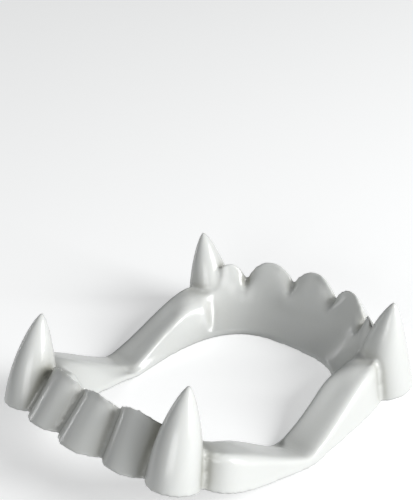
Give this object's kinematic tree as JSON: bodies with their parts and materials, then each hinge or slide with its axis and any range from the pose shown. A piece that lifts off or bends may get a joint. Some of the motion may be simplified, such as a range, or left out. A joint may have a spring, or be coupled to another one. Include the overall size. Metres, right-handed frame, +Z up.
{
  "type": "vampire fang denture",
  "caption": "White moulded costume denture with an upper and a lower tooth arch, long fangs and a folding strap at the back, lying open.",
  "frame": {"origin": "on the table under the middle of the open denture", "axes": "+Z up, +Y towards the upper arch's front teeth, +X to the right when looking along +Y"},
  "size_m": [0.0504, 0.0618, 0.0218],
  "materials": {
    "white_plastic": "glossy moulded"
  },
  "bodies": {
    "upper_arch": {"upper_jaw": "white_plastic"},
    "lower_arch": {"lower_jaw": "white_plastic"}
  },
  "joints": [
    {"name": "jaw_fold", "type": "hinge", "parent": "upper_arch", "child": "lower_arch", "pos_m": [0, -0.0036, 0.00235], "axis": [-1, 0, 0], "range_deg": [-19, 104], "stiffness_Nm_per_rad": 0.05}
  ]
}
